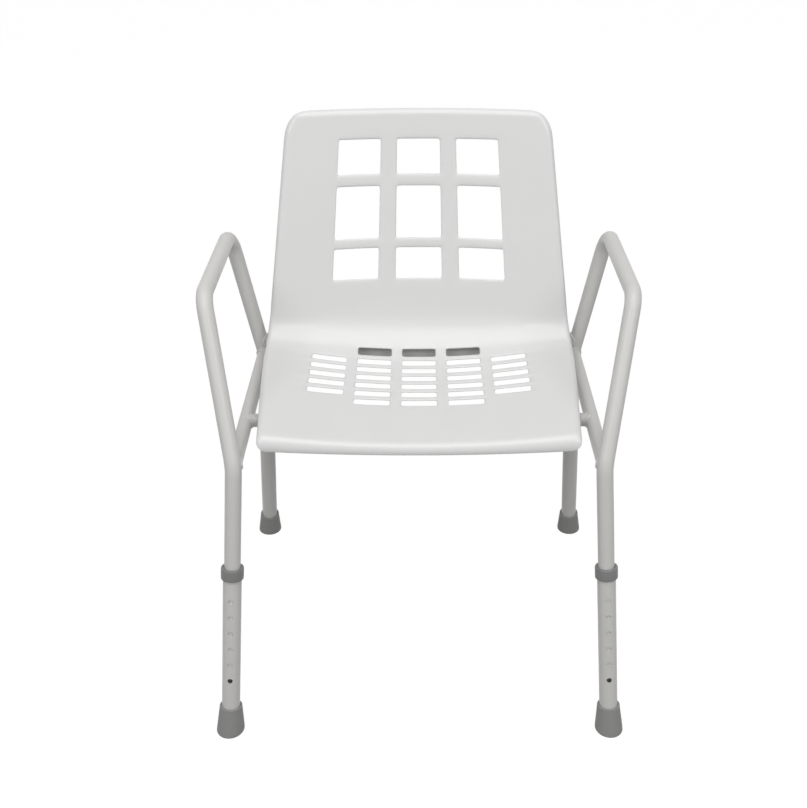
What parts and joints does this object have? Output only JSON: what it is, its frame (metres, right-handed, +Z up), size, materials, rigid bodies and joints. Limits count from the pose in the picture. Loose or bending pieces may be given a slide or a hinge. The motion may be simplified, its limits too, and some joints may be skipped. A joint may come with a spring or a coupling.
{
  "type": "shower chair",
  "caption": "Shower chair with a moulded slotted seat shell, bent tube frame with armrests and telescopic legs on rubber feet.",
  "frame": {"origin": "on the floor, midway between the four feet", "axes": "+X to the right seen from the front, +Y towards the back of the chair, +Z up"},
  "size_m": [0.5844, 0.5182, 0.7645],
  "materials": {
    "seat_plastic": "gloss",
    "frame_paint": "satin powder coat",
    "grey_plastic": "matte",
    "foot_rubber": "matte",
    "button_steel": "dark",
    "bright_steel": "bright"
  },
  "bodies": {
    "frame": {"seat_shell": "seat_plastic", "side_frame_left": "frame_paint", "side_frame_right": "frame_paint", "side_rail_left": "frame_paint", "side_rail_right": "frame_paint", "front_cross_tube": "frame_paint", "rear_cross_tube": "frame_paint", "saddle_front_left": "grey_plastic", "saddle_front_right": "grey_plastic", "saddle_rear_left": "grey_plastic", "saddle_rear_right": "grey_plastic", "clip_straps": "bright_steel", "strap_screws": "bright_steel", "button_spring_front_left": "bright_steel", "button_spring_front_right": "bright_steel", "button_spring_rear_left": "bright_steel", "button_spring_rear_right": "bright_steel"},
    "leg_front_left": {"lower_leg_front_left": "frame_paint", "leg_collar_front_left": "grey_plastic", "rubber_foot_front_left": "foot_rubber", "foot_washer_front_left": "bright_steel"},
    "button_front_left": {"snap_button_front_left": "button_steel"},
    "leg_front_right": {"lower_leg_front_right": "frame_paint", "leg_collar_front_right": "grey_plastic", "rubber_foot_front_right": "foot_rubber", "foot_washer_front_right": "bright_steel"},
    "button_front_right": {"snap_button_front_right": "button_steel"},
    "leg_rear_left": {"lower_leg_rear_left": "frame_paint", "leg_collar_rear_left": "grey_plastic", "rubber_foot_rear_left": "foot_rubber", "foot_washer_rear_left": "bright_steel"},
    "button_rear_left": {"snap_button_rear_left": "button_steel"},
    "leg_rear_right": {"lower_leg_rear_right": "frame_paint", "leg_collar_rear_right": "grey_plastic", "rubber_foot_rear_right": "foot_rubber", "foot_washer_rear_right": "bright_steel"},
    "button_rear_right": {"snap_button_rear_right": "button_steel"}
  },
  "joints": [
    {"name": "leg_extend_front_left", "type": "slide", "parent": "frame", "child": "leg_front_left", "axis": [-0.0688, -0.1819, -0.9809], "range_m": [0, 0.125], "deforming": ["snap_button_front_left"]},
    {"name": "button_press_front_left", "type": "slide", "parent": "frame", "child": "button_front_left", "axis": [-0.0127, 0.9833, -0.1815], "range_m": [0, 0.0028], "stiffness_N_per_m": 2500, "springref_m": -0.0016, "deforming": ["button_spring_front_left"]},
    {"name": "leg_extend_front_right", "type": "slide", "parent": "frame", "child": "leg_front_right", "axis": [0.0688, -0.1819, -0.9809], "range_m": [0, 0.125], "deforming": ["snap_button_front_right"]},
    {"name": "button_press_front_right", "type": "slide", "parent": "frame", "child": "button_front_right", "axis": [0.0127, 0.9833, -0.1815], "range_m": [0, 0.0028], "stiffness_N_per_m": 2500, "springref_m": -0.0016, "deforming": ["button_spring_front_right"]},
    {"name": "leg_extend_rear_left", "type": "slide", "parent": "frame", "child": "leg_rear_left", "axis": [-0.0688, 0.1819, -0.9809], "range_m": [0, 0.125], "deforming": ["snap_button_rear_left"]},
    {"name": "button_press_rear_left", "type": "slide", "parent": "frame", "child": "button_rear_left", "axis": [-0.0127, -0.9833, -0.1815], "range_m": [0, 0.0028], "stiffness_N_per_m": 2500, "springref_m": -0.0016, "deforming": ["button_spring_rear_left"]},
    {"name": "leg_extend_rear_right", "type": "slide", "parent": "frame", "child": "leg_rear_right", "axis": [0.0688, 0.1819, -0.9809], "range_m": [0, 0.125], "deforming": ["snap_button_rear_right"]},
    {"name": "button_press_rear_right", "type": "slide", "parent": "frame", "child": "button_rear_right", "axis": [0.0127, -0.9833, -0.1815], "range_m": [0, 0.0028], "stiffness_N_per_m": 2500, "springref_m": -0.0016, "deforming": ["button_spring_rear_right"]}
  ]
}
